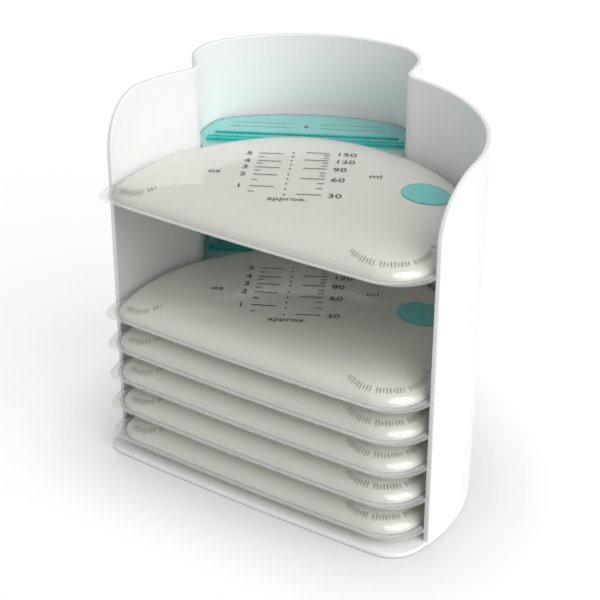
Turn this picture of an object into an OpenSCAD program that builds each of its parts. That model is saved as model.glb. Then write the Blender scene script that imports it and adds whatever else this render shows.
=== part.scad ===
// Open-fronted freezer box for flat milk storage bags, with six filled bags.
// The box is one thin-walled moulding: a round body with a narrower neck behind it
// and an oblique open front. Each bag is a pair of heat-sealed films round a flat
// slab of frozen milk, with a header in the neck that carries two press-zips.
// Five bags lie stacked on the base, and one more is part way down on its way in.
// Millimetres, +Z up. Z = 0 is the resting face; the neck points towards +Y.

/* [Box] */
// radius of the round body, outside
body_r = 90; // [84:0.5:96]
// height of the walls
box_h = 180; // [160:1:210]
// wall thickness
wall_t = 2.2; // [1.6:0.1:3]
// thickness of the base plate
base_t = 2.2; // [1.6:0.1:3.4]

/* [Neck] */
// half width of the neck where it leaves the round body
neck_half_w = 52; // [48:0.5:55]
// half width of the neck at its widest, before its corners are rounded
neck_wide_w = 60.3; // [57:0.1:63]
// distance of that widest place behind the body's centre
neck_wide_y = 104.8; // [100:0.1:110]
// distance of the neck's back face behind the body's centre
neck_back_y = 131.5; // [126:0.5:138]
// rounding of the neck's two rear corners
neck_corner_r = 28; // [15:1:32]
// rounding in the waist between body and neck
waist_r = 6.8; // [4:0.2:10]

/* [Open front] */
// angle of the base's front edge to the line across the box
front_angle = 28.1; // [22:0.1:34]
// distance of the front edge from the body's centre
front_d = 36; // [30:0.5:42]
// radius of the slight outward bow of the front edge
front_bow_r = 2000; // [900:50:5000]
// rounding of the base's right front corner
base_right_r = 17; // [8:0.5:22]
// rounding of the base's left front corner
base_left_r = 9; // [5:0.5:14]
// angle of the plane that ends the two side walls
mouth_angle = 27.1; // [22:0.1:32]
// distance of that plane from the body's centre
mouth_d = 16.9; // [12:0.1:24]
// rounding of each side wall's top front corner
wall_top_r = 27; // [12:1:40]

/* [Bags] */
// thickness of one film
film_t = 0.4; // [0.2:0.1:0.8]
// space between the films' edge and the walls
film_gap = 0.5; // [0.4:0.1:1]
// width of the heat-sealed border round the milk
seal_w = 3.5; // [2.5:0.1:5]
// how far the films' front edge lies inside the base's front edge
film_front_in = 0.4; // [0.2:0.1:2]
// how far the films' ears stay inside the box's outer outline
ear_in = 0.5; // [0.4:0.1:2]
// rounding of the right ear
ear_right_r = 15; // [6:0.5:18]
// rounding of the left ear
ear_left_r = 8; // [3:0.5:9]
// depth of the milk slab below its seal
milk_low_h = 6.7; // [5:0.1:8]
// height of the milk slab above its seal
milk_up_h = 10.1; // [8:0.1:12]
// rounding of the milk slab's right front corner in plan
milk_right_r = 19; // [10:0.5:24]
// rounding of the milk slab's left front corner in plan
milk_left_r = 13; // [8:0.5:18]
// how far the slab bulges back into the neck
milk_bulge = 2; // [0:0.1:3]
// share of the slab's half width that its upper shoulder takes
milk_up_shoulder = 0.36; // [0.2:0.01:0.6]
// share of the slab's half width that its lower shoulder takes
milk_low_shoulder = 0.3; // [0.15:0.01:0.5]
// height of the raised bag's seal
raised_z = 137.5; // [125:0.5:145]

/* [Press-zips] */
// space between the main press-zip's ends and the films' side edges
zip_end_gap = 3; // [1:0.1:8]
// width of the main press-zip
zip_w = 6.3; // [4:0.1:8]
// space between the milk slab and the main press-zip
zip_gap = 1.5; // [1:0.1:4]
// height of the main press-zip's band above the film
zip_band_h = 0.5; // [0.3:0.1:0.8]
// height of the two ribs on that band
zip_rib_h = 0.9; // [0.4:0.1:1.2]
// width of each rib
zip_rib_w = 1.4; // [0.8:0.1:1.8]
// space between the second, thinner press-zip's ends and the films' side edges
zip2_end_gap = 7.2; // [3:0.1:12]
// width of the second press-zip
zip2_w = 1.8; // [1.2:0.1:2.5]
// space between the two press-zips
zip2_gap = 3.7; // [2:0.1:6]
// height of the second press-zip above the film
zip2_h = 0.9; // [0.4:0.1:1.2]
// depth of the tear notch in the header's left edge
notch_d = 3; // [1:0.1:4]
// width of the tear notch at that edge
notch_w = 2.4; // [1:0.1:4]
// space between the second press-zip and the tear notch
notch_gap = 11; // [1:0.5:13]

/* [Shown] */
// the piece to draw

/* [Hidden] */

// colours
white = [0.95, 0.95, 0.94];
clear = [0.86, 0.88, 0.86, 0.6];
ivory = [0.85, 0.85, 0.81];
teal = [0.09, 0.72, 0.68];

// number of straight steps along each kind of curve
steps_body = 22;
steps_waist = 4;
steps_corner = 6;
steps_back = 8;
steps_front = 4;
steps_slab = 30;
rings_up = 5;
rings_low = 4;
big = 260;

centre = [0, 0];

function heading(v) = let (a = atan2(v.y, v.x)) a < 0 ? a + 360 : a;
function along(a) = [cos(a), sin(a)];
// points of an arc, from step first_k on
function arc(c, r, a0, a1, n, first_k = 0) =
  [for (k = [first_k : n]) c + r * along(a0 + (a1 - a0) * k / n)];
// the point at distances r0 from c0 and r1 from c1, on the given side of the line c0 to c1
function meet(c0, r0, c1, r1, side) =
  let (d = norm(c1 - c0), u = (c1 - c0) / d, a = (d * d + r0 * r0 - r1 * r1) / (2 * d))
  c0 + a * u + side * sqrt(r0 * r0 - a * a) * [-u.y, u.x];
function flipped(p) = [for (k = [len(p) - 1 : -1 : 0]) [-p[k].x, p[k].y]];

// right side of the neck: a straight flank from the body circle to the widest place
flank_start = [neck_half_w, sqrt(body_r * body_r - neck_half_w * neck_half_w)];
flank_end = [neck_wide_w, neck_wide_y];
flank_dir = (flank_end - flank_start) / norm(flank_end - flank_start);
flank_out = [flank_dir.y, -flank_dir.x];
// the neck's back arc passes through the widest place
back_rise = neck_back_y - neck_wide_y;
back_r = (neck_wide_w * neck_wide_w + back_rise * back_rise) / (2 * back_rise);
back_c = [0, neck_back_y - back_r];
// where a circle of radius r round c crosses the flank shifted outwards by s
function flank_cross(c, r, s) =
  let (p = flank_start + s * flank_out - c, b = p * flank_dir, q = p * p - r * r)
  flank_start + s * flank_out + (-b + sqrt(b * b - q)) * flank_dir;
waist_c = flank_cross(centre, body_r + waist_r, waist_r);
rear_c = flank_cross(back_c, back_r - neck_corner_r, -neck_corner_r);

// the neck's right half, from the body circle to the middle of its back, moved inwards by i
function neck_half(i) = concat(
  arc(waist_c, waist_r + i, heading(waist_c) + 180, heading(-flank_out), steps_waist),
  arc(rear_c, neck_corner_r - i, heading(flank_out) - 360, heading(rear_c - back_c), steps_corner),
  arc(back_c, back_r - i, heading(rear_c - back_c), 90, steps_back, 1)
);
function neck_path(i) =
  let (half = neck_half(i))
  concat(half, flipped([for (k = [0 : len(half) - 2]) half[k]]));

// the front edge: a shallow arc that faces front_dir
front_dir = [-sin(front_angle), -cos(front_angle)];
function front_c(d) = front_dir * (d - front_bow_r);
// centre of a front corner of radius r between a circle of radius rim and a front edge at d
function corner_c(rim, d, r, side) = meet(centre, rim - r, front_c(d), front_bow_r - r, side);
// left corner, front edge and right corner, from left to right
function front_path(rim, d, left_r, right_r) =
  let (lc = corner_c(rim, d, left_r, 1), rc = corner_c(rim, d, right_r, -1), fc = front_c(d))
  concat(
    arc(lc, left_r, heading(lc), heading(lc - fc), steps_corner),
    arc(fc, front_bow_r, heading(lc - fc), heading(rc - fc), steps_front, 1),
    arc(rc, right_r, heading(rc - fc), heading(rc), steps_corner, 1)
  );

// the plane that ends the side walls
mouth_dir = [-sin(mouth_angle), -cos(mouth_angle)];
mouth_run = [cos(mouth_angle), -sin(mouth_angle)];
function mouth_point(r, d, side) = d * mouth_dir + side * sqrt(r * r - d * d) * mouth_run;

// the frame's origin is the middle of the footprint
base_left_c = corner_c(body_r, front_d, base_left_r, 1);
base_right_c = corner_c(body_r, front_d, base_right_r, -1);
mid_x = (body_r + base_left_c.x - base_left_r) / 2;
mid_y = (neck_back_y + base_right_c.y - base_right_r) / 2;

// outline of the box seen from above, moved inwards by i
module box_outline(i) {
  circle(r = body_r - i, $fn = 180);
  polygon(concat([centre], neck_path(i)));
}

// everything behind the base's front edge
module behind_front() {
  edge = front_path(body_r, front_d, base_left_r, base_right_r);
  first = edge[0];
  last = edge[len(edge) - 1];
  polygon(concat(edge, [last * 1.5, [big, last.y * 1.5], [big, big], [-big, big],
    [-big, first.y * 1.5], first * 1.5]));
}

// everything behind the mouth plane, with the walls' top corners rounded
module behind_mouth() {
  rotate([0, 0, -mouth_angle]) {
    translate([-big / 2, -mouth_d, -1])
      cube([big, big, box_h - wall_top_r + 1]);
    translate([-big / 2, -mouth_d + wall_top_r, -1])
      cube([big, big, box_h + 2]);
    translate([-big / 2, -mouth_d + wall_top_r, box_h - wall_top_r])
      rotate([0, 90, 0])
        cylinder(r = wall_top_r, h = big, $fn = 96);
  }
}

module storage_box() {
  color(white)
    translate([-mid_x, -mid_y, 0]) {
      linear_extrude(base_t)
        intersection() {
          box_outline(0);
          behind_front();
        }
      intersection() {
        linear_extrude(box_h)
          difference() {
            box_outline(0);
            box_outline(wall_t);
          }
        behind_mouth();
      }
    }
}

// films: inside the walls, and out to the ears in front of the walls' ends
film_in = wall_t + film_gap;
film_r = body_r - film_in;
ear_r = body_r - ear_in;
ear_d = mouth_d + film_gap;
film_front_d = front_d - film_front_in;
function film_path() =
  let (
    right_in = mouth_point(film_r, ear_d, 1), left_in = mouth_point(film_r, ear_d, -1),
    right_out = mouth_point(ear_r, ear_d, 1), left_out = mouth_point(ear_r, ear_d, -1),
    ends = front_path(ear_r, film_front_d, ear_left_r, ear_right_r),
    waist_a = heading(waist_c)
  )
  concat(
    arc(centre, film_r, heading(right_in) - 360, waist_a, steps_body),
    [for (k = [1 : len(neck_path(film_in)) - 2]) neck_path(film_in)[k]],
    arc(centre, film_r, 180 - waist_a, heading(left_in), steps_body),
    arc(centre, ear_r, heading(left_out), heading(ends[0]), 1),
    [for (k = [1 : len(ends) - 1]) ends[k]],
    arc(centre, ear_r, heading(ends[len(ends) - 1]), heading(right_out), 1, 1)
  );

// milk pocket: the films' outline less the sealed border, bulging a little into the neck
pocket_r = film_r - seal_w;
pocket_front_d = film_front_d - seal_w;
neck_span = 90 - heading(waist_c);
function bulge(a) = abs(a - 90) < neck_span ? milk_bulge * pow(cos(90 * (a - 90) / neck_span), 2) : 0;
function pocket_path() =
  let (
    edge = front_path(pocket_r, pocket_front_d, milk_left_r, milk_right_r),
    a0 = heading(edge[len(edge) - 1]) - 360,
    a1 = heading(edge[0])
  )
  concat(edge, [for (k = [1 : steps_slab - 1])
    let (a = a0 + (a1 - a0) * k / steps_slab) (pocket_r + bulge(a)) * along(a)]);
slab_c = [0, 16];

// height and size of each level of the slab, from its flat bottom to its flat top
function slab_levels() = concat(
  [for (k = [rings_low : -1 : 0]) let (a = 90 * k / rings_low)
    [-film_t - (milk_low_h - film_t) * sin(a), 1 - milk_low_shoulder * (1 - cos(a))]],
  [for (k = [0 : rings_up]) let (a = 90 * k / rings_up)
    [film_t + (milk_up_h - film_t) * sin(a), 1 - milk_up_shoulder * (1 - cos(a))]]
);

module slab() {
  outline = pocket_path();
  levels = slab_levels();
  n = len(outline);
  m = len(levels);
  points = [for (v = levels) for (p = outline)
    let (q = slab_c + (p - slab_c) * v[1]) [q.x, q.y, v[0]]];
  sides = [for (j = [0 : m - 2]) for (k = [0 : n - 1])
    [j * n + k, (j + 1) * n + k, (j + 1) * n + (k + 1) % n, j * n + (k + 1) % n]];
  bottom = [for (k = [0 : n - 1]) k];
  top = [for (k = [n - 1 : -1 : 0]) (m - 1) * n + k];
  polyhedron(points, concat(sides, [bottom, top]));
}

// seal height of each bag; bags 1 to 5 lie on one another and bag 6 is raised
pitch = milk_low_h + milk_up_h;
function seal_z(bag) = bag == 6 ? raised_z : base_t + milk_low_h + (bag - 1) * pitch;

module at_bag(bag, z) {
  translate([-mid_x, -mid_y, seal_z(bag) + z])
    children();
}

module film(bag, z) {
  color(clear)
    at_bag(bag, z)
      linear_extrude(film_t)
        difference() {
          polygon(film_path());
          polygon(pocket_path());
          tear_notch();
        }
}

// a small nick in the left edge of the header, for tearing it off
module tear_notch() {
  y = zip2_y + zip2_w + notch_gap + notch_d;
  tip = [notch_d - header_half_w(y), y];
  polygon([tip, tip + [-2 * notch_d, notch_w], tip - [2 * notch_d, notch_w]]);
}

module upper_film(bag) {
  film(bag, 0);
}

module lower_film(bag) {
  film(bag, -film_t);
}

module milk(bag) {
  color(ivory)
    at_bag(bag, 0)
      slab();
}

// the two press-zips lie one behind the other across the header
zip_y = pocket_r + milk_bulge + zip_gap;
zip2_y = zip_y + zip_w + zip2_gap;
// half width of the header at a distance y behind the centre: straight flanks, then a rounded corner
header_corner_r = neck_corner_r - film_in;
function header_half_w(y) =
  y < rear_c.y + header_corner_r * flank_out.y
    ? flank_start.x + (y - flank_start.y) * flank_dir.x / flank_dir.y - film_in / flank_out.x
    : rear_c.x + sqrt(pow(header_corner_r, 2) - pow(y - rear_c.y, 2));
zip_len = 2 * (header_half_w(zip_y) - zip_end_gap);
zip2_len = 2 * (header_half_w(zip2_y) - zip2_end_gap);

module press_zip(bag) {
  rib_in = (zip_w / 2 - zip_rib_w) / 2;
  color(teal)
    at_bag(bag, film_t) {
      translate([-zip_len / 2, zip_y, 0])
        cube([zip_len, zip_w, zip_band_h]);
      for (y = [rib_in, zip_w - rib_in - zip_rib_w])
        translate([-zip_len / 2, zip_y + y, 0])
          cube([zip_len, zip_rib_w, zip_band_h + zip_rib_h]);
    }
}

module second_zip(bag) {
  color(teal)
    at_bag(bag, film_t)
      translate([-zip2_len / 2, zip2_y, 0])
        cube([zip2_len, zip2_w, zip2_h]);
}

storage_box();
upper_film(1);  // bag_1_upper_film
lower_film(1);  // bag_1_lower_film
milk(1);  // bag_1_milk
press_zip(1);  // bag_1_press_zip
second_zip(1);  // bag_1_second_zip
upper_film(2);  // bag_2_upper_film
lower_film(2);  // bag_2_lower_film
milk(2);  // bag_2_milk
press_zip(2);  // bag_2_press_zip
second_zip(2);  // bag_2_second_zip
upper_film(3);  // bag_3_upper_film
lower_film(3);  // bag_3_lower_film
milk(3);  // bag_3_milk
press_zip(3);  // bag_3_press_zip
second_zip(3);  // bag_3_second_zip
upper_film(4);  // bag_4_upper_film
lower_film(4);  // bag_4_lower_film
milk(4);  // bag_4_milk
press_zip(4);  // bag_4_press_zip
second_zip(4);  // bag_4_second_zip
upper_film(5);  // bag_5_upper_film
lower_film(5);  // bag_5_lower_film
milk(5);  // bag_5_milk
press_zip(5);  // bag_5_press_zip
second_zip(5);  // bag_5_second_zip
upper_film(6);  // bag_6_upper_film
lower_film(6);  // bag_6_lower_film
milk(6);  // bag_6_milk
press_zip(6);  // bag_6_press_zip
second_zip(6);  // bag_6_second_zip
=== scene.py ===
import math

import bmesh
import bpy
from mathutils import Matrix, Vector, noise
from mathutils.bvhtree import BVHTree


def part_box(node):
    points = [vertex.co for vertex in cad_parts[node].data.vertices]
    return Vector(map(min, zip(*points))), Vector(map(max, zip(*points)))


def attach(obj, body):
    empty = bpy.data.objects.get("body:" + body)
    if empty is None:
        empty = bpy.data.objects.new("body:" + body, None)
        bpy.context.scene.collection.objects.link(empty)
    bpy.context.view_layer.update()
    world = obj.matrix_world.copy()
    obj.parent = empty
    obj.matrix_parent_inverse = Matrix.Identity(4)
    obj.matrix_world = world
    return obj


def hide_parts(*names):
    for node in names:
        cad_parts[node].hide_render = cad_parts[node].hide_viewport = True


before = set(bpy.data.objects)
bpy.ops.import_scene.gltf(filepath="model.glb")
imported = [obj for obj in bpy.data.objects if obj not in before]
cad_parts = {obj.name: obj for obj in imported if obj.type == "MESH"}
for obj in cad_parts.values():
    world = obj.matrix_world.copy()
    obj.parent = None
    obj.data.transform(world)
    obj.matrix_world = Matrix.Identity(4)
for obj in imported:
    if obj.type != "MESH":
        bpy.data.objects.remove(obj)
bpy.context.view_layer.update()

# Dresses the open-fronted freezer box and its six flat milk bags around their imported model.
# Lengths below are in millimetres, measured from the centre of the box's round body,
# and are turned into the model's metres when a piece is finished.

MM = 0.001

# box
BODY_R = 90.0
BOX_H = 180.0
WALL_T = 2.2
BASE_T = 2.2
NECK_HALF_W = 52.0
NECK_WIDE_W = 60.3
NECK_WIDE_Y = 104.8
NECK_BACK_Y = 131.5
NECK_CORNER_R = 28.0
WAIST_R = 6.8
FRONT_ANGLE = 28.1
FRONT_D = 36.0
FRONT_BOW_R = 2000.0
BASE_RIGHT_R = 17.0
BASE_LEFT_R = 9.0
MOUTH_ANGLE = 27.1
MOUTH_D = 16.9
WALL_TOP_R = 27.0
WALL_TOP_STEPS = 20
WALL_FOOT = 0.05
SOLE_IN = 0.03
RIM_ROUND = 0.45

# bags
FILM_IN = 2.7
EAR_R = 89.5
EAR_D = 17.4
FILM_FRONT_D = 35.6
EAR_RIGHT_R = 21.0
EAR_LEFT_R = 8.0
POCKET_R = 83.8
POCKET_FRONT_D = 32.1
POCKET_RIGHT_R = 19.0
POCKET_LEFT_R = 13.0
POCKET_BULGE = 2.0
SLAB_CENTRE = Vector((0.0, 16.0))
TOP_H = 10.1
LOW_H = 6.7
TOP_FLATNESS = 6
LOW_FLATNESS = 8
SHOULDER = 0.6
DIP_DEPTH = 0.3
DIP_PATCH = 38.0
FILM_T = 0.2
MILK_UNDER = 0.3
MARGIN_H = 0.3
POCKET_EDGE_H = 0.4
NOTCH_DEPTH = 3.0
NOTCH_W = 2.4
NOTCH_Y = 113.1
SEAL_LINE = 0.8

# press-zips
ZIP_Y = 87.3
ZIP_W = 6.3
ZIP_LEN = 99.8
ZIP_BAND_T = 0.5
ZIP_BAND_Z = 0.6
ZIP_BAND_ROUND = 0.2
ZIP_RIB_W = 2.1
ZIP_RIB_H = 0.9
ZIP_RIB_Z = 1.0
ZIP_RIB_SHORT = 1.0
ZIP_RIB_ROUND = 0.4
ZIP_PRESS_W = 2.4
ZIP_PRESS_H = 0.6
ZIP_PRESS_Z = 0.85
ZIP_PRESS_IN = 1.9
ZIP_PRESS_NARROW = 0.8
ZIP_PRESS_ROUND = 0.25
THIN_ZIP_Y = 97.3
THIN_ZIP_W = 1.8
THIN_ZIP_LEN = 93.5
THIN_ZIP_H = 0.8
THIN_ZIP_Z = 0.75
THIN_ZIP_ROUND = 0.35

# header: its film dips behind the pocket and rises again to a rear edge that is flatter than the neck
HEADER_Y = 76.0
HEADER_DIP = 0.8
HEADER_RISE = 1.2
HEADER_FLAT_Y = 113.0
HEADER_FLATTEN = 0.38
HEADER_TINT_RUN = 5.0
DIP_Y = 80.0
DIP_RUN = 7.0
RISE_Y = 96.0
RISE_RUN = 22.0

# points merge within the first distance, and edges that differ by less than the second are level
MERGE = 1e-5
LEVEL = 1e-6
# faces above this area are broad, and get a strip along their edge
BROAD_AREA = 1000.0
EDGE_STRIP = 0.5

BAGS = range(1, 7)

# the round body's centre in the model
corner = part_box("storage_box")[1]
CENTRE = Vector((corner[0] / MM - BODY_R, corner[1] / MM - NECK_BACK_Y))


# plane curves

def heading(v):
    """Direction of a vector in degrees, from the box's right towards its neck."""
    return math.degrees(math.atan2(v[1], v[0])) % 360


def along(angle):
    """Unit vector at a heading."""
    return Vector((math.cos(math.radians(angle)), math.sin(math.radians(angle))))


def arc(centre, r, a0, a1, steps, first=0):
    """Points of an arc between two headings, from the given step on."""
    return [centre + r * along(a0 + (a1 - a0) * k / steps) for k in range(first, steps + 1)]


def meet(c0, r0, c1, r1, side):
    """The point at distances r0 from c0 and r1 from c1, on the given side of the line between them."""
    d = (c1 - c0).length
    u = (c1 - c0) / d
    a = (d * d + r0 * r0 - r1 * r1) / (2 * d)
    return c0 + a * u + side * math.sqrt(r0 * r0 - a * a) * Vector((-u.y, u.x))


ORIGIN = Vector((0.0, 0.0))
FLANK_START = Vector((NECK_HALF_W, math.sqrt(BODY_R**2 - NECK_HALF_W**2)))
FLANK_DIR = (Vector((NECK_WIDE_W, NECK_WIDE_Y)) - FLANK_START).normalized()
FLANK_OUT = Vector((FLANK_DIR.y, -FLANK_DIR.x))
BACK_RISE = NECK_BACK_Y - NECK_WIDE_Y
BACK_R = (NECK_WIDE_W**2 + BACK_RISE**2) / (2 * BACK_RISE)
BACK_CENTRE = Vector((0.0, NECK_BACK_Y - BACK_R))


def flank_cross(centre, r, shift):
    """Where a circle crosses the neck's straight flank shifted outwards."""
    p = FLANK_START + shift * FLANK_OUT - centre
    b = p.dot(FLANK_DIR)
    q = p.dot(p) - r * r
    return FLANK_START + shift * FLANK_OUT + (math.sqrt(b * b - q) - b) * FLANK_DIR


WAIST_CENTRE = flank_cross(ORIGIN, BODY_R + WAIST_R, WAIST_R)
REAR_CENTRE = flank_cross(BACK_CENTRE, BACK_R - NECK_CORNER_R, -NECK_CORNER_R)
WAIST_HEADING = heading(WAIST_CENTRE)
NECK_SPAN = 90 - WAIST_HEADING


def mirrored(points):
    """The same run of points on the left, in the order that carries on from the right."""
    return [Vector((-p.x, p.y)) for p in reversed(points)]


def neck_half(inset, steps=(10, 18, 16)):
    """The neck's right half, from the round body to the middle of its back."""
    back = heading(REAR_CENTRE - BACK_CENTRE)
    return (
        arc(WAIST_CENTRE, WAIST_R + inset, WAIST_HEADING + 180, heading(-FLANK_OUT), steps[0])
        + arc(REAR_CENTRE, NECK_CORNER_R - inset, heading(FLANK_OUT) - 360, back, steps[1])
        + arc(BACK_CENTRE, BACK_R - inset, back, 90, steps[2], 1)
    )


def front_centre(d):
    """Centre of the gentle bow of a front edge that lies at distance d."""
    return -along(90 - FRONT_ANGLE) * (d - FRONT_BOW_R)


def corner_centre(rim, d, r, side):
    """Centre of the corner of radius r between a round rim and a front edge."""
    return meet(ORIGIN, rim - r, front_centre(d), FRONT_BOW_R - r, side)


def front_path(rim, d, left_r, right_r, steps=(12, 24, 18)):
    """Left corner, front edge and right corner, from left to right."""
    left = corner_centre(rim, d, left_r, 1)
    right = corner_centre(rim, d, right_r, -1)
    bow = front_centre(d)
    return (
        arc(left, left_r, heading(left), heading(left - bow), steps[0])
        + arc(bow, FRONT_BOW_R, heading(left - bow), heading(right - bow), steps[1], 1)
        + arc(right, right_r, heading(right - bow), heading(right), steps[2], 1)
    )


def mouth_point(r, d, side):
    """Where the straight cut of the open front at distance d meets a circle of radius r."""
    across = along(-MOUTH_ANGLE)
    return -along(90 - MOUTH_ANGLE) * d + side * math.sqrt(r * r - d * d) * across


def wall_path(inset):
    """The walls' outline from the right end of the mouth round the back to its left end."""
    r = BODY_R - inset
    half = neck_half(inset)
    right = heading(mouth_point(r, MOUTH_D, 1)) - 360
    left = heading(mouth_point(r, MOUTH_D, -1))
    return (
        arc(ORIGIN, r, right, WAIST_HEADING, 60)[:-1]
        + half
        + mirrored(half[:-1])
        + arc(ORIGIN, r, 180 - WAIST_HEADING, left, 60, 1)
    )


def base_path(inset):
    """The base's outline, with its front edge and round corners."""
    edge = front_path(BODY_R - inset, FRONT_D - inset, BASE_LEFT_R, BASE_RIGHT_R)
    half = neck_half(inset)
    r = BODY_R - inset
    return (
        edge
        + arc(ORIGIN, r, heading(edge[-1]) - 360, WAIST_HEADING, 72, 1)[:-1]
        + half
        + mirrored(half[:-1])
        + arc(ORIGIN, r, 180 - WAIST_HEADING, heading(edge[0]), 72, 1)[:-1]
    )


def film_path():
    """The films' outline: inside the walls, out to the ears, and along the front."""
    film_r = BODY_R - FILM_IN
    ends = front_path(EAR_R, FILM_FRONT_D, EAR_LEFT_R, EAR_RIGHT_R)
    right_out = heading(mouth_point(EAR_R, EAR_D, 1)) - 360
    right_in = heading(mouth_point(film_r, EAR_D, 1)) - 360
    left_in = heading(mouth_point(film_r, EAR_D, -1))
    left_out = heading(mouth_point(EAR_R, EAR_D, -1))
    half = neck_half(FILM_IN, (6, 18, 14))
    outline = (
        ends
        + arc(ORIGIN, EAR_R, heading(ends[-1]) - 360, right_out, 6, 1)
        + arc(ORIGIN, film_r, right_in, WAIST_HEADING, 50)[:-1]
        + half
        + notched(mirrored(half[:-1]))
        + arc(ORIGIN, film_r, 180 - WAIST_HEADING, left_in, 50, 1)
        + arc(ORIGIN, EAR_R, left_out, heading(ends[0]), 6)[:-1]
    )
    return [Vector((p.x, p.y - HEADER_FLATTEN * max(0.0, p.y - HEADER_FLAT_Y))) for p in outline]


def notched(points):
    """The left edge of the header, pushed in where it has its tear notch."""
    near = min(points, key=lambda p: abs(p.y - NOTCH_Y))
    k = points.index(near)
    slope = (points[k + 1] - points[k - 1]).normalized()
    tip = near + NOTCH_DEPTH * Vector((-slope.y, slope.x))
    mouth = slope * NOTCH_W / 2
    return points[:k] + [near - mouth, tip, near + mouth] + points[k + 1:]


def bulge(angle):
    """How far the pocket swells into the neck at a heading."""
    away = angle - 90
    return POCKET_BULGE * math.cos(math.radians(90 * away / NECK_SPAN)) ** 2 if abs(away) < NECK_SPAN else 0.0


def pocket_path(outline, out=0.0):
    """The milk pocket's outline, moved outwards, with one point for each point of the films' outline."""
    edge = front_path(
        POCKET_R + out, POCKET_FRONT_D + out, POCKET_LEFT_R + out, POCKET_RIGHT_R + out
    )
    rest = outline[len(edge):]
    a0 = heading(edge[-1]) - 360
    a1 = heading(edge[0])
    turns = [a0 + (a1 - a0) * share for share in rising([(heading(p) + 90) % 360 - 90 for p in rest])]
    return edge + [(POCKET_R + out + bulge(t)) * along(t) for t in turns]


# least step between headings, and how far both ends of a run stay inside it
TURN_STEP = 0.2
TURN_END = 0.004


def rising(turns):
    """A run of headings as shares from 0 to 1 that never fall back, kept just inside both ends."""
    run = [turns[0]]
    for turn in turns[1:]:
        run.append(max(turn, run[-1] + TURN_STEP))
    return [TURN_END + (1 - 2 * TURN_END) * (turn - run[0]) / (run[-1] - run[0]) for turn in run]


def header_height(y):
    """How far the header lies above the seal's plane."""
    dip_in = smooth_step((y - DIP_Y) / DIP_RUN)
    rise_in = smooth_step((y - RISE_Y) / RISE_RUN)
    return (HEADER_DIP + HEADER_RISE) * rise_in - HEADER_DIP * dip_in


def smooth_step(t):
    """Eases from 0 to 1."""
    t = min(1.0, max(0.0, t))
    return t * t * (3 - 2 * t)


# mesh helpers

def place(piece_mesh):
    """Moves a mesh in millimetres round the body's centre to its place in the model, in metres."""
    piece_mesh.transform(Matrix.Scale(MM, 4) @ Matrix.Translation((CENTRE.x, CENTRE.y, 0)))


def finished(name, bm, material, body):
    """Turns a bmesh in millimetres into a placed piece that rides on a body."""
    mesh = bpy.data.meshes.new(name)
    bm.to_mesh(mesh)
    bm.free()
    return from_mesh(name, mesh, material, body)


def from_mesh(name, mesh, material, body, lift=0.0):
    """Places a mesh, raised by its lift, as a smooth piece that rides on a body."""
    mesh.transform(Matrix.Translation((0, 0, lift)))
    place(mesh)
    mesh.materials.clear()
    mesh.materials.append(material)
    for face in mesh.polygons:
        face.use_smooth = True
    piece = bpy.data.objects.new(name, mesh)
    bpy.context.scene.collection.objects.link(piece)
    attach(piece, body)
    return piece


def thicken(piece, thickness, inwards=True):
    """Gives a sheet its thickness, which is in metres."""
    wall = piece.modifiers.new("thickness", "SOLIDIFY")
    wall.thickness = thickness
    wall.offset = -1 if inwards else 1
    wall.use_even_offset = False
    return piece


def turned_out(bm):
    """Merges doubles and turns all faces outwards."""
    bmesh.ops.remove_doubles(bm, verts=bm.verts, dist=MERGE)
    bmesh.ops.recalc_face_normals(bm, faces=bm.faces)
    return bm


def closed_face(bm, points):
    """A flat face inside a closed run of points."""
    return bm.faces.new([bm.verts.new((p.x, p.y, 0)) for p in points])


def rounded(bm, edges, size, segments=3):
    """Rounds edges off."""
    bmesh.ops.bevel(
        bm, geom=edges, offset=size, offset_type="OFFSET", segments=segments,
        profile=0.5, affect="EDGES", material=-1, clamp_overlap=True,
    )


def rounded_bar(bm, size, centre, round_size, segments=3):
    """Adds a bar with rounded edges."""
    made = bmesh.ops.create_cube(bm, size=1)["verts"]
    bmesh.ops.scale(bm, vec=size, verts=made)
    bmesh.ops.translate(bm, vec=centre, verts=made)
    rounded(bm, list({e for v in made for e in v.link_edges}), round_size, segments)


# materials

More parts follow.
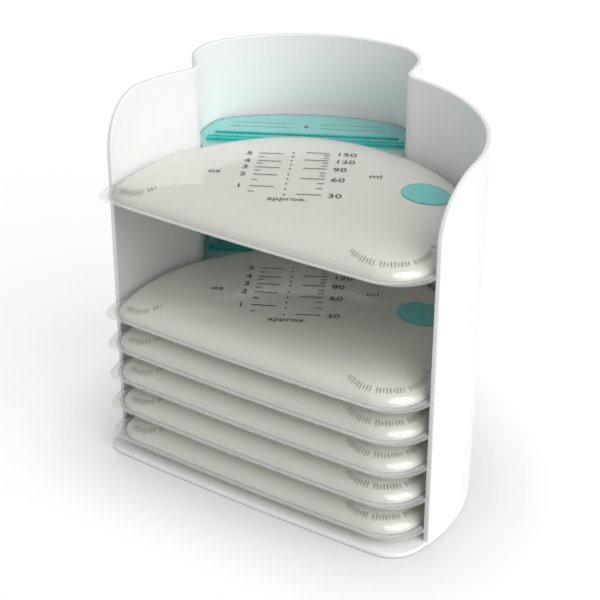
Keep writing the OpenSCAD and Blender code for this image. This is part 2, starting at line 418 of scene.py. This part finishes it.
class Finish:
    """A material and the few nodes that most finishes share."""

    def __init__(self, name, rough, coat=0.0, level=0.5, ior=1.5):
        self.material = bpy.data.materials.new(name)
        self.material.use_nodes = True
        self.tree = self.material.node_tree
        self.shader = self.tree.nodes["Principled BSDF"]
        self.set("Roughness", rough)
        self.set("IOR", ior)
        self.set("Specular IOR Level", level)
        self.set("Coat Weight", coat)
        self.where = self.add("ShaderNodeTexCoord").outputs["Object"]

    def set(self, socket, value):
        self.shader.inputs[socket].default_value = value

    def add(self, kind, **values):
        node = self.tree.nodes.new(kind)
        for key, value in values.items():
            setattr(node, key, value)
        return node

    def link(self, source, target):
        self.tree.links.new(source, target)

    def noise(self, scale, detail=3.0, rough=0.5, stretch=(1, 1, 1)):
        """A soft random pattern, with its scale in patches a metre."""
        centred = self.add("ShaderNodeMapping")
        centred.inputs["Scale"].default_value = stretch
        self.link(self.where, centred.inputs["Vector"])
        node = self.add("ShaderNodeTexNoise")
        node.inputs["Scale"].default_value = scale
        node.inputs["Detail"].default_value = detail
        node.inputs["Roughness"].default_value = rough
        self.link(centred.outputs["Vector"], node.inputs["Vector"])
        return node.outputs["Fac"]

    def ranged(self, source, low, high, out_low, out_high):
        node = self.add("ShaderNodeMapRange")
        for key, value in (("From Min", low), ("From Max", high), ("To Min", out_low), ("To Max", out_high)):
            node.inputs[key].default_value = value
        self.link(source, node.inputs["Value"])
        return node.outputs["Result"]

    def blend(self, factor, first, second):
        node = self.add("ShaderNodeMix", data_type="RGBA")
        for socket, colour in ((node.inputs[6], first), (node.inputs[7], second)):
            if isinstance(colour, tuple):
                socket.default_value = (*colour, 1)
            else:
                self.link(colour, socket)
        self.link(factor, node.inputs[0])
        return node.outputs[2]

    def math(self, operation, first, second):
        node = self.add("ShaderNodeMath", operation=operation)
        for socket, value in zip(node.inputs, (first, second)):
            if isinstance(value, (int, float)):
                socket.default_value = value
            else:
                self.link(value, socket)
        return node.outputs[0]

    def bumped(self, source, strength, distance):
        node = self.add("ShaderNodeBump")
        node.inputs["Strength"].default_value = strength
        node.inputs["Distance"].default_value = distance
        self.link(source, node.inputs["Height"])
        self.link(node.outputs["Normal"], self.shader.inputs["Normal"])

    def painted(self, name):
        """A value painted on the piece's points."""
        return self.add("ShaderNodeAttribute", attribute_name=name).outputs["Fac"]


def white_plastic():
    """Satin moulded plastic, faintly clouded and streaked."""
    finish = Finish("satin_white_plastic", 0.3)
    cloud = finish.noise(14, 4)
    streak = finish.noise(40, 2, 0.5, (1, 1, 0.2))
    tone = finish.blend(
        finish.ranged(cloud, 0.2, 0.8, 0, 1), (0.915, 0.92, 0.915), (0.93, 0.932, 0.925)
    )
    finish.link(tone, finish.shader.inputs["Base Color"])
    worn = finish.math("ADD", finish.ranged(cloud, 0.2, 0.8, 0.27, 0.31),
                       finish.ranged(streak, 0.2, 0.8, 0, 0.02))
    finish.link(worn, finish.shader.inputs["Roughness"])
    finish.bumped(finish.noise(900, 2), 0.04, 0.0002)
    return finish.material


def frozen_milk():
    """Ivory frozen milk pressed smooth by its film, a little clouded."""
    finish = Finish("frozen_milk", 0.4, coat=1.0, level=0.3)
    finish.set("Coat Roughness", 0.07)
    finish.set("Coat IOR", 2.0)
    cloud = finish.noise(45, 5, 0.55)
    fleck = finish.noise(420, 3)
    tone = finish.blend(
        finish.ranged(cloud, 0.2, 0.8, 0, 1), (0.745, 0.745, 0.668), (0.775, 0.77, 0.695)
    )
    tone = finish.blend(finish.ranged(fleck, 0.6, 0.8, 0, 0.25), tone, (0.74, 0.74, 0.69))
    finish.link(tone, finish.shader.inputs["Base Color"])
    finish.set("Subsurface Weight", 0.12)
    finish.set("Subsurface Radius", (1.0, 0.9, 0.7))
    finish.set("Subsurface Scale", 0.002)
    return finish.material


def clear_film():
    """Glossy clear film: faint over the milk, whiter along its seal, teal on the header, with painted shade
    along its crease lines.
    """
    finish = Finish("clear_film", 0.1, level=0.9, ior=1.6)
    haze = finish.noise(70, 4)
    sealed = finish.painted("sealed")
    header = finish.painted("header")
    crease_shade = finish.painted("crease_shade")
    tone = finish.blend(header, (0.93, 0.935, 0.925), (0.34, 0.75, 0.72))
    # painted shade: the seal's crease lines are darkened and made less clear
    tone = finish.blend(crease_shade, tone, (0.34, 0.35, 0.33))
    finish.link(tone, finish.shader.inputs["Base Color"])
    cover = finish.math("ADD", finish.math("MULTIPLY", sealed, 0.17), 0.07)
    cover = finish.math("ADD", cover, finish.math("MULTIPLY", header, 0.5))
    cover = finish.math("ADD", cover, finish.math("MULTIPLY", crease_shade, 0.2))
    cover = finish.math("ADD", cover, finish.ranged(haze, 0.2, 0.8, -0.01, 0.03))
    finish.link(cover, finish.shader.inputs["Alpha"])
    finish.link(finish.ranged(haze, 0.3, 0.7, 0.07, 0.16), finish.shader.inputs["Roughness"])
    finish.bumped(finish.noise(160, 3, 0.6), 0.08, 0.0004)
    return finish.material


def teal_zip():
    """Glossy teal of the press-zips, a little clouded."""
    finish = Finish("teal_zip", 0.18, level=0.6)
    cloud = finish.noise(80, 3)
    tone = finish.blend(finish.ranged(cloud, 0.3, 0.7, 0, 1), (0.0, 0.42, 0.385), (0.01, 0.52, 0.475))
    finish.link(tone, finish.shader.inputs["Base Color"])
    finish.link(finish.ranged(cloud, 0.3, 0.7, 0.14, 0.24), finish.shader.inputs["Roughness"])
    finish.bumped(finish.noise(500, 2, 0.5, (0.1, 1, 1)), 0.1, 0.0002)
    return finish.material


def ink(name, dark, light):
    """Printing ink with slightly uneven cover."""
    finish = Finish(name, 0.35)
    tone = finish.blend(finish.ranged(finish.noise(300, 3), 0.35, 0.65, 0, 1), dark, light)
    finish.link(tone, finish.shader.inputs["Base Color"])
    return finish.material


WHITE = white_plastic()
MILK = frozen_milk()
FILM = clear_film()
TEAL = teal_zip()
DARK_INK = ink("dark_ink", (0.06, 0.06, 0.06), (0.09, 0.09, 0.088))
GREY_INK = ink("grey_ink", (0.2, 0.2, 0.195), (0.25, 0.25, 0.245))
TEAL_INK = ink("teal_ink", (0.17, 0.60, 0.57), (0.20, 0.64, 0.61))


# the box

def flat_wall(length):
    """The walls rolled out flat: along x, their thickness along y, up along z."""
    bm = bmesh.new()
    sheet = bm.faces.new([bm.verts.new(p) for p in (
        (0, 0, WALL_FOOT), (length, 0, WALL_FOOT), (length, 0, BOX_H), (0, 0, BOX_H))])
    tops = [v for v in sheet.verts if v.co.z > WALL_FOOT + RIM_ROUND]
    bmesh.ops.bevel(bm, geom=tops, offset=WALL_TOP_R, offset_type="OFFSET", segments=WALL_TOP_STEPS,
                    profile=0.5, affect="VERTICES", material=-1)
    made = bmesh.ops.extrude_face_region(bm, geom=list(bm.faces))["geom"]
    bmesh.ops.translate(bm, vec=(0, WALL_T, 0), verts=[v for v in made if isinstance(v, bmesh.types.BMVert)])
    turned_out(bm)
    rims = [e for e in bm.edges if abs(e.verts[0].co.y - e.verts[1].co.y) < LEVEL
            and max(v.co.z for v in e.verts) > WALL_FOOT + RIM_ROUND]
    rounded(bm, rims, RIM_ROUND)
    broad = [f for f in bm.faces if abs(f.normal.y) > 0.999 and f.calc_area() > BROAD_AREA]
    for face in broad:
        bmesh.ops.inset_region(bm, faces=[face], thickness=EDGE_STRIP)
    return bm


def roll_up(bm, outer, inner):
    """Bends the flat walls round the box's outline."""
    run = [0.0]
    for p, q in zip(outer, outer[1:]):
        run.append(run[-1] + (q - p).length)
    for s in run[1:-1]:
        bmesh.ops.bisect_plane(bm, geom=bm.verts[:] + bm.edges[:] + bm.faces[:], dist=MERGE,
                               plane_co=(s, 0, 0), plane_no=(1, 0, 0))
    for v in bm.verts:
        k = min(max(next((i for i, s in enumerate(run) if s > v.co.x), len(run)) - 1, 0), len(run) - 2)
        t = (v.co.x - run[k]) / (run[k + 1] - run[k])
        out = outer[k].lerp(outer[k + 1], t)
        into = inner[k].lerp(inner[k + 1], t)
        at = out.lerp(into, v.co.y / WALL_T)
        v.co = (at.x, at.y, v.co.z)


def box_walls():
    """The walls in one run from the right end of the mouth round the neck to its left end."""
    outer, inner = wall_path(0.0), wall_path(WALL_T)
    bm = flat_wall(sum((q - p).length for p, q in zip(outer, outer[1:])))
    roll_up(bm, outer, inner)
    return turned_out(bm)


def base_plate():
    """The base: a flat plate with a rounded edge."""
    bm = bmesh.new()
    sole = closed_face(bm, base_path(SOLE_IN))
    made = bmesh.ops.extrude_face_region(bm, geom=[sole])["geom"]
    bmesh.ops.translate(bm, vec=(0, 0, BASE_T), verts=[v for v in made if isinstance(v, bmesh.types.BMVert)])
    turned_out(bm)
    level = [e for e in bm.edges if abs(e.verts[0].co.z - e.verts[1].co.z) < LEVEL]
    rounded(bm, level, RIM_ROUND)
    for face in [f for f in bm.faces if f.calc_area() > BROAD_AREA]:
        bmesh.ops.inset_region(bm, faces=[face], thickness=EDGE_STRIP)
    return turned_out(bm)


def joined(first, second):
    """Adds the second mesh to the first."""
    mesh = bpy.data.meshes.new("joined")
    second.to_mesh(mesh)
    second.free()
    first.from_mesh(mesh)
    bpy.data.meshes.remove(mesh)
    return first


storage_box = finished("box_shell", joined(box_walls(), base_plate()), WHITE, "box")
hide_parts("storage_box")


# the bags

OUTLINE = film_path()
AROUND = len(OUTLINE)
# distance outside the pocket's edge, height, how sealed the film is there, and how much painted shade darkens
# its crease there
SEAL = (
    (3.15, 0.30, 1.0, 0.0), (2.9, 0.34, 1.0, 0.0), (2.6, 0.55, 1.0, 0.0), (2.35, 0.50, 0.9, 0.8),
    (2.1, 0.60, 1.0, 0.0), (1.5, 0.52, 1.0, 0.0), (1.25, 0.34, 1.0, 0.1), (1.1, 0.28, 0.8, 0.9),
    (0.95, 0.32, 0.6, 0.9),
)
# how white the film is in its margin outside the seal, and at the pocket's edge
MARGIN_SEALED = 0.4
RIM_SEALED = 0.6
# how fast the seal fades and the dip grows inwards from the pocket's edge
SEAL_FADE = 30
DIP_FADE = 3
# about how far the slab reaches from its middle
SLAB_REACH = 60.0
# the slab's two faces merge where they are closer than this
RIM_GAP = 0.4
TOP_SEED = 1.0
LOW_SEED = 2.0
FLANGE_RINGS = 12
TINTED_RINGS = FLANGE_RINGS + 4
DOME_RINGS = 30
RING_CROWDING = 1.7


def dome_scale(k):
    """Share of the pocket's width at a ring of the dome, with the rings closer at its shoulder."""
    return 1 - (k / DOME_RINGS) ** RING_CROWDING


def dome_height(scale, full, power):
    """Height of a film over its pocket, flat in the middle and round at its shoulder."""
    return full * max(0.0, 1 - scale**power) ** SHOULDER


def dip(p, seed):
    """How far the milk's face lies below its full height, which varies a little."""
    return DIP_DEPTH * (0.5 + 0.5 * noise.noise(Vector((p.x / DIP_PATCH, p.y / DIP_PATCH, seed))))


def raised(p, z, side):
    """A point of a film at a height above its seal, which follows the header's dip and rise."""
    return (p.x, p.y, z + side * header_height(p.y))


def film_shape(full, power, seed, side=1, under=0.0, with_edge=True):
    """Rings of a film from its edge over the seal to the middle of the pocket, each ring's
    points and its painted values. Side is 1 for the upper film and -1 for the lower one, which
    is shaped upside down. Under moves the pocket's face down, for the milk below it."""
    rings = []
    if with_edge:
        beside = pocket_path(OUTLINE, SEAL[0][0])
        for k in range(FLANGE_RINGS):
            ring = [p.lerp(q, k / FLANGE_RINGS) for p, q in zip(OUTLINE, beside)]
            rings.append([(raised(p, MARGIN_H, side), MARGIN_SEALED, 0.0) for p in ring])
        for out, z, sealed, crease_shade in SEAL:
            ring = pocket_path(OUTLINE, out)
            rings.append([(raised(p, z, side), sealed, crease_shade) for p in ring])
    rim = pocket_path(OUTLINE, SEAL_LINE)
    for k in range(DOME_RINGS + 1):
        scale = dome_scale(k)
        shrink = 1 - under / SLAB_REACH
        near_rim = max(0.0, 1 - SEAL_FADE * (1 - scale))
        ring = []
        for p in rim:
            q = SLAB_CENTRE + (p - SLAB_CENTRE) * scale * shrink
            z = POCKET_EDGE_H + dome_height(scale, full - POCKET_EDGE_H, power) - under
            z -= dip(q, seed) * min(1, DIP_FADE * (1 - scale))
            z += side * header_height(q.y) * near_rim
            ring.append(((q.x, q.y, z), RIM_SEALED * near_rim, 0.0))
        rings.append(ring)
    return rings


def woven(rings, flip=False):
    """A grid bent through the rings, closed round and at its middle, with its painted values."""
    bm = bmesh.new()
    count = len(rings)
    bmesh.ops.create_grid(bm, x_segments=AROUND, y_segments=count - 1, size=0.5)
    sealed = bm.verts.layers.float.new("sealed")
    # the crease value is painted shade along the seal's crease lines
    crease_shade = bm.verts.layers.float.new("crease_shade")
    header = bm.verts.layers.float.new("header")
    for v in bm.verts:
        k = round((v.co.x + 0.5) * AROUND) % AROUND
        j = round((v.co.y + 0.5) * (count - 1))
        co, v[sealed], v[crease_shade] = rings[j][k]
        x, y, z = co
        v.co = (x, y, -z if flip else z)
        v[header] = smooth_step((y - HEADER_Y) / HEADER_TINT_RUN) if j <= TINTED_RINGS else 0.0
    bmesh.ops.remove_doubles(bm, verts=bm.verts, dist=MERGE)
    bmesh.ops.recalc_face_normals(bm, faces=bm.faces)
    upward = sum(f.normal.z for f in bm.faces) > 0
    if upward == flip:
        bmesh.ops.reverse_faces(bm, faces=bm.faces)
    return bm


def milk_slab():
    """The slab of milk: the two films' inner faces, drawn together at their rims."""
    top = woven(film_shape(TOP_H, TOP_FLATNESS, TOP_SEED, 1, MILK_UNDER, with_edge=False))
    low = woven(film_shape(LOW_H, LOW_FLATNESS, LOW_SEED, -1, MILK_UNDER, with_edge=False), flip=True)
    bm = joined(top, low)
    bmesh.ops.remove_doubles(bm, verts=bm.verts, dist=RIM_GAP)
    bmesh.ops.recalc_face_normals(bm, faces=bm.faces)
    return bm


def press_zip():
    """The main press-zip: a band with two rounded ribs and pressed ends."""
    bm = bmesh.new()
    middle = ZIP_Y + ZIP_W / 2
    rounded_bar(bm, (ZIP_LEN, ZIP_W, ZIP_BAND_T), (0, middle, ZIP_BAND_Z), ZIP_BAND_ROUND)
    rib_in = (ZIP_W / 2 - ZIP_RIB_W) / 2
    for y in (ZIP_Y + rib_in + ZIP_RIB_W / 2, ZIP_Y + ZIP_W - rib_in - ZIP_RIB_W / 2):
        size = (ZIP_LEN - ZIP_RIB_SHORT, ZIP_RIB_W, ZIP_RIB_H)
        rounded_bar(bm, size, (0, y, ZIP_RIB_Z), ZIP_RIB_ROUND, 4)
    for side in (-1, 1):
        size = (ZIP_PRESS_W, ZIP_W - ZIP_PRESS_NARROW, ZIP_PRESS_H)
        centre = (side * (ZIP_LEN / 2 - ZIP_PRESS_IN), middle, ZIP_PRESS_Z)
        rounded_bar(bm, size, centre, ZIP_PRESS_ROUND)
    bmesh.ops.translate(bm, vec=(0, 0, header_height(middle)), verts=bm.verts)
    return bm


def thin_zip():
    """The second, single rib behind the main press-zip."""
    bm = bmesh.new()
    middle = THIN_ZIP_Y + THIN_ZIP_W / 2
    z = THIN_ZIP_Z + header_height(middle)
    rounded_bar(bm, (THIN_ZIP_LEN, THIN_ZIP_W, THIN_ZIP_H), (0, middle, z), THIN_ZIP_ROUND, 4)
    return bm


# the print on each bag

DIGIT_SIZE = 5.9
RIGHT_NUMBER_OFF = (2.8, -0.5)
LEFT_NUMBER_OFF = (-4.8, -0.3)
LETTER_STRETCH = 1.13
LONG_LINE = 11.4
SHORT_LINE = 2.9
LINE_W = 0.55
RIGHT_LINES_X = 16.0
LEFT_LINES_X = -17.5
RIGHT_MARKS = ((150, 51.1), (120, 41.8), (90, 31.9), (60, 19.9), (30, 2.0))
LEFT_MARKS = ((5, 48.4), (4, 39.0), (3, 31.3), (2, 22.7), (1, 9.4))
LEFT_HALVES = (44.0, 36.0, 27.5, 16.5, 3.3)
RIGHT_SHORTS = (48.2, 45.0, 38.6, 35.2, 27.0, 23.6, 14.8, 9.0)
DOTS = ((-1.4, 50.3), (-1.4, 45.5), (-1.3, 40.2), (-1.2, 35.3), (-1.1, 30.5),
        (-1.1, 24.0), (-1.0, 18.6), (-1.0, 13.0), (-0.8, 7.4), (-0.7, 1.0))
DOT_R = 0.55
UNIT_SIZE = 5.6
NOTE_SIZE = 5.2
OZ_AT = (-35.8, 24.7)
ML_AT = (39.2, 25.6)
NOTE_AT = (1.2, -3.6)
# centre, radius, first and last heading, and number of dashes
RIGHT_DASHES = (Vector((48.7, -36.6)), 18.6, 215, 360, 32)
LEFT_DASHES = (Vector((-66.5, 16.8)), 12.4, 216, 300, 13)
DASH_W = 0.3
DASH_TALL = 1.3
DASH_SHORT = 0.9
DASHES_A_WORD = 10
BADGE = (63.0, 11.0, 11.5)
BADGE_STEP = 1.5
HEADER_ROWS = (106.0, 110.0)
HEADER_LINES = ((-40.0, -8.0), (6.0, 40.0))
HEADER_LINE_W = 0.25
HEADER_MARK = (-1.0, 107.5, 1.2)
HEADER_TAPER = 60.0
PRINT_GAP = 0.04
PRINT_T = 0.03


def lettering(bm, words, size, at, align="LEFT"):
    """Printed numbers or units."""
    curve = bpy.data.curves.new("words", "FONT")
    curve.body = words
    curve.size = size
    curve.align_x = align
    curve.align_y = "CENTER"
    curve.resolution_u = 4
    holder = bpy.data.objects.new("words", curve)
    bpy.context.scene.collection.objects.link(holder)
    mesh = bpy.data.meshes.new_from_object(holder)
    mesh.transform(Matrix.Translation((at[0], at[1], 0)) @ Matrix.Diagonal((LETTER_STRETCH, 1, 1, 1)))
    bm.from_mesh(mesh)
    bpy.data.objects.remove(holder)
    bpy.data.curves.remove(curve)
    bpy.data.meshes.remove(mesh)


def stroke(bm, x0, y0, x1, y1, width, parts=6):
    """A straight printed line."""
    run = Vector((x1 - x0, y1 - y0))
    turn = Matrix.Rotation(math.atan2(run.y, run.x), 4, "Z")
    made = bmesh.ops.create_grid(bm, x_segments=parts, y_segments=1, size=0.5)["verts"]
    bmesh.ops.scale(bm, vec=(run.length, width, 1), verts=made)
    bmesh.ops.transform(bm, matrix=Matrix.Translation(((x0 + x1) / 2, (y0 + y1) / 2, 0)) @ turn, verts=made)


def disc(bm, x, y, r, sides=16):
    """A round printed spot."""
    made = bmesh.ops.create_circle(bm, cap_ends=True, radius=r, segments=sides)["verts"]
    bmesh.ops.translate(bm, vec=(x, y, 0), verts=made)


def dashes(bm, centre, r, a0, a1, count):
    """A fine row of upright dashes along an arc, where small print would run."""
    for k in range(count):
        if k % DASHES_A_WORD == DASHES_A_WORD - 1:
            continue
        ray = along(a0 + (a1 - a0) * k / (count - 1))
        tall = DASH_TALL if k % 3 else DASH_SHORT
        low = centre + ray * (r - tall)
        high = centre + ray * (r + tall)
        stroke(bm, low.x, low.y, high.x, high.y, DASH_W, 2)


def graduations():
    """The scale of millilitres on the right and ounces on the left, with its dots and units."""
    bm = bmesh.new()
    for number, y in RIGHT_MARKS:
        stroke(bm, RIGHT_LINES_X - LONG_LINE, y, RIGHT_LINES_X, y, LINE_W)
        at = (RIGHT_LINES_X + RIGHT_NUMBER_OFF[0], y + RIGHT_NUMBER_OFF[1])
        lettering(bm, str(number), DIGIT_SIZE, at)
    for number, y in LEFT_MARKS:
        stroke(bm, LEFT_LINES_X, y, LEFT_LINES_X + LONG_LINE, y, LINE_W)
        at = (LEFT_LINES_X + LEFT_NUMBER_OFF[0], y + LEFT_NUMBER_OFF[1])
        lettering(bm, str(number), DIGIT_SIZE, at, "CENTER")
    for y in RIGHT_SHORTS:
        stroke(bm, RIGHT_LINES_X - SHORT_LINE, y, RIGHT_LINES_X, y, LINE_W, 3)
    for y in LEFT_HALVES:
        stroke(bm, LEFT_LINES_X, y, LEFT_LINES_X + SHORT_LINE, y, LINE_W, 3)
    for x, y in DOTS:
        disc(bm, x, y, DOT_R)
    lettering(bm, "oz", UNIT_SIZE, OZ_AT, "CENTER")
    lettering(bm, "ml", UNIT_SIZE, ML_AT, "CENTER")
    lettering(bm, "approx.", NOTE_SIZE, NOTE_AT, "CENTER")
    return bm


def edge_dashes():
    """The two rows of dashes at the pocket's corners."""
    bm = bmesh.new()
    dashes(bm, *RIGHT_DASHES)
    dashes(bm, *LEFT_DASHES)
    return bm


def badge():
    """The round patch, cut into small squares so that it follows the film."""
    bm = bmesh.new()
    disc(bm, *BADGE, sides=64)
    x, y, r = BADGE
    cuts = [BADGE_STEP * k for k in range(-int(r / BADGE_STEP) - 1, int(r / BADGE_STEP) + 2)]
    for cut in cuts:
        for at, out in (((x + cut, 0, 0), (1, 0, 0)), ((0, y + cut, 0), (0, 1, 0))):
            bmesh.ops.bisect_plane(bm, geom=bm.verts[:] + bm.edges[:] + bm.faces[:], dist=MERGE,
                                   plane_co=at, plane_no=out)
    return bm


def header_lines():
    """Write-on lines and a small round mark on the header."""
    bm = bmesh.new()
    for x0, x1 in HEADER_LINES:
        for y in HEADER_ROWS:
            narrower = 1 - (y - HEADER_ROWS[0]) / HEADER_TAPER
            stroke(bm, x0 * narrower, y, x1 * narrower, y, HEADER_LINE_W)
    disc(bm, *HEADER_MARK, sides=24)
    return bm


def pressed_on(bm, film):
    """Lowers a flat print on to a film."""
    bmesh.ops.triangulate(bm, faces=bm.faces)
    tree = BVHTree.FromBMesh(film)
    for v in list(bm.verts):
        hit = tree.ray_cast(Vector((v.co.x, v.co.y, 2 * TOP_H)), Vector((0, 0, -1)))[0]
        v.co.z = hit.z + PRINT_GAP
    return bm


top_film = woven(film_shape(TOP_H, TOP_FLATNESS, TOP_SEED))
low_film = woven(film_shape(LOW_H, LOW_FLATNESS, LOW_SEED, -1), flip=True)
PRINTS = {
    "graduations": (pressed_on(graduations(), top_film), DARK_INK, "clear_film"),
    "edge_dashes": (pressed_on(edge_dashes(), top_film), GREY_INK, "clear_film"),
    "badge": (pressed_on(badge(), top_film), TEAL_INK, "teal_zip"),
    "header_lines": (pressed_on(header_lines(), top_film), GREY_INK, "clear_film"),
}
SHAPES = {
    "film_top": (top_film, FILM, "clear_film", "upper_film"),
    "film_bottom": (low_film, FILM, "clear_film", "lower_film"),
    "milk_slab": (milk_slab(), MILK, "frozen_milk", "milk"),
    "press_zip_ribs": (press_zip(), TEAL, "teal_zip", "press_zip"),
    "second_zip_rib": (thin_zip(), TEAL, "teal_zip", "second_zip"),
}


def kept_mesh(name, bm):
    """The mesh of a bag's piece, which each bag copies."""
    mesh = bpy.data.meshes.new(name)
    bm.to_mesh(mesh)
    bm.free()
    return mesh


shape_meshes = {name: kept_mesh(name, entry[0]) for name, entry in SHAPES.items()}
print_meshes = {name: kept_mesh(name, entry[0]) for name, entry in PRINTS.items()}

for bag in BAGS:
    body = f"bag_{bag}"
    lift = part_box(f"{body}_upper_film")[0][2] / MM
    for name, (_, material, slot, node) in SHAPES.items():
        piece = from_mesh(f"{body}_{name}", shape_meshes[name].copy(), material, body, lift)
        if "film" in name:
            thicken(piece, FILM_T * MM)
        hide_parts(f"{body}_{node}")
    for name, (_, material, slot) in PRINTS.items():
        piece = from_mesh(f"{body}_{name}", print_meshes[name].copy(), material, body, lift)
        thicken(piece, PRINT_T * MM, inwards=False)


# camera, floor and light

CAMERA_AT = Vector((70.56, -635.15, 432.64))
CAMERA_HEADING = 5.736
CAMERA_FALL = 27.894
CAMERA_ROLL = 0.1675
CAMERA_LENS = 93.39


def aim_camera():
    """The camera that the photograph was taken from."""
    turn, fall, roll = (math.radians(a) for a in (CAMERA_HEADING, CAMERA_FALL, CAMERA_ROLL))
    forward = Vector((-math.sin(turn) * math.cos(fall), math.cos(turn) * math.cos(fall), -math.sin(fall)))
    right = Vector((math.cos(turn), math.sin(turn), 0))
    up = right.cross(forward)
    right, up = (math.cos(roll) * right + math.sin(roll) * up, math.cos(roll) * up - math.sin(roll) * right)
    data = bpy.data.cameras.new("camera")
    data.sensor_fit = "HORIZONTAL"
    data.sensor_width = 36
    data.lens = CAMERA_LENS
    data.clip_start = 0.01
    camera = bpy.data.objects.new("camera", data)
    at = (CAMERA_AT + Vector((CENTRE.x, CENTRE.y, 0))) * MM
    camera.matrix_world = Matrix.Translation(at) @ Matrix((right, up, -forward)).transposed().to_4x4()
    bpy.context.scene.collection.objects.link(camera)
    bpy.context.scene.camera = camera


# in metres
FLOOR_SIDE = 6.0
FLOOR_DROP = 0.0003
CONTACT_REACH = 0.06
# shares of white
FLOOR_BOUNCE = 0.8
FLOOR_SHADE = 0.4
FLOOR_GLOW = 0.65
WORLD_LIGHT = 0.43
KEY_POWER = 2.2
# in degrees
KEY_HEADING = -38
KEY_HEIGHT = 42
KEY_SPREAD = 60


def seen_rays(tree):
    """1 for rays from the camera, reflections and clear things, which see the white background."""
    path = tree.nodes.new("ShaderNodeLightPath")
    total = path.outputs["Is Camera Ray"]
    for name in ("Is Glossy Ray", "Is Transmission Ray"):
        node = tree.nodes.new("ShaderNodeMath")
        node.operation = "MAXIMUM"
        tree.links.new(total, node.inputs[0])
        tree.links.new(path.outputs[name], node.inputs[1])
        total = node.outputs[0]
    return total


def floor():
    """A white floor that keeps the object's soft shadow."""
    bm = bmesh.new()
    bmesh.ops.create_grid(bm, x_segments=8, y_segments=8, size=FLOOR_SIDE / 2)
    bmesh.ops.translate(bm, vec=(0, 0, -FLOOR_DROP), verts=bm.verts)
    mesh = bpy.data.meshes.new("floor")
    bm.to_mesh(mesh)
    bm.free()
    plate = bpy.data.objects.new("floor", mesh)
    bpy.context.scene.collection.objects.link(plate)
    material = bpy.data.materials.new("floor_white")
    material.use_nodes = True
    tree = material.node_tree
    tree.nodes.clear()
    seen = seen_rays(tree)
    tone = tree.nodes.new("ShaderNodeMix")
    tone.data_type = "RGBA"
    tone.inputs[6].default_value = (FLOOR_BOUNCE, FLOOR_BOUNCE, FLOOR_BOUNCE, 1)
    tone.inputs[7].default_value = (FLOOR_SHADE, FLOOR_SHADE, FLOOR_SHADE, 1)
    tree.links.new(seen, tone.inputs[0])
    dull = tree.nodes.new("ShaderNodeBsdfDiffuse")
    glow = tree.nodes.new("ShaderNodeEmission")
    power = tree.nodes.new("ShaderNodeMath")
    power.operation = "MULTIPLY"
    power.inputs[1].default_value = FLOOR_GLOW
    tree.links.new(seen, power.inputs[0])
    tree.links.new(power.outputs[0], glow.inputs["Strength"])
    near = tree.nodes.new("ShaderNodeAmbientOcclusion")
    near.inputs["Distance"].default_value = CONTACT_REACH
    near.samples = 8
    tree.links.new(tone.outputs[2], dull.inputs["Color"])
    tree.links.new(near.outputs["AO"], glow.inputs["Color"])
    both = tree.nodes.new("ShaderNodeAddShader")
    tree.links.new(dull.outputs[0], both.inputs[0])
    tree.links.new(glow.outputs[0], both.inputs[1])
    out = tree.nodes.new("ShaderNodeOutputMaterial")
    tree.links.new(both.outputs[0], out.inputs["Surface"])
    mesh.materials.append(material)


def studio():
    """A grey sky that lights the object, seen as plain white by the camera."""
    world = bpy.data.worlds.new("studio")
    bpy.context.scene.world = world
    world.use_nodes = True
    tree = world.node_tree
    tree.nodes.clear()
    path = tree.nodes.new("ShaderNodeLightPath")
    clear = tree.nodes.new("ShaderNodeMath")
    clear.operation = "MAXIMUM"
    tree.links.new(path.outputs["Is Camera Ray"], clear.inputs[0])
    tree.links.new(path.outputs["Is Transmission Ray"], clear.inputs[1])
    power = tree.nodes.new("ShaderNodeMapRange")
    power.inputs["To Min"].default_value = WORLD_LIGHT
    power.inputs["To Max"].default_value = 1.0
    tree.links.new(clear.outputs[0], power.inputs["Value"])
    back = tree.nodes.new("ShaderNodeBackground")
    back.inputs["Color"].default_value = (1, 1, 1, 1)
    tree.links.new(power.outputs["Result"], back.inputs["Strength"])
    out = tree.nodes.new("ShaderNodeOutputWorld")
    tree.links.new(back.outputs[0], out.inputs["Surface"])


def key_light():
    """One broad lamp from the right of the open front."""
    data = bpy.data.lights.new("key", "SUN")
    data.energy = KEY_POWER
    data.angle = math.radians(KEY_SPREAD)
    lamp = bpy.data.objects.new("key", data)
    flat = along(KEY_HEADING) * math.cos(math.radians(KEY_HEIGHT))
    towards = Vector((flat.x, flat.y, math.sin(math.radians(KEY_HEIGHT))))
    lamp.matrix_world = Matrix.Translation(towards * 2) @ towards.to_track_quat("Z", "Y").to_matrix().to_4x4()
    bpy.context.scene.collection.objects.link(lamp)


aim_camera()
floor()
studio()
key_light()

scene = bpy.context.scene
scene.view_settings.view_transform = "Standard"
scene.cycles.transparent_max_bounces = 32
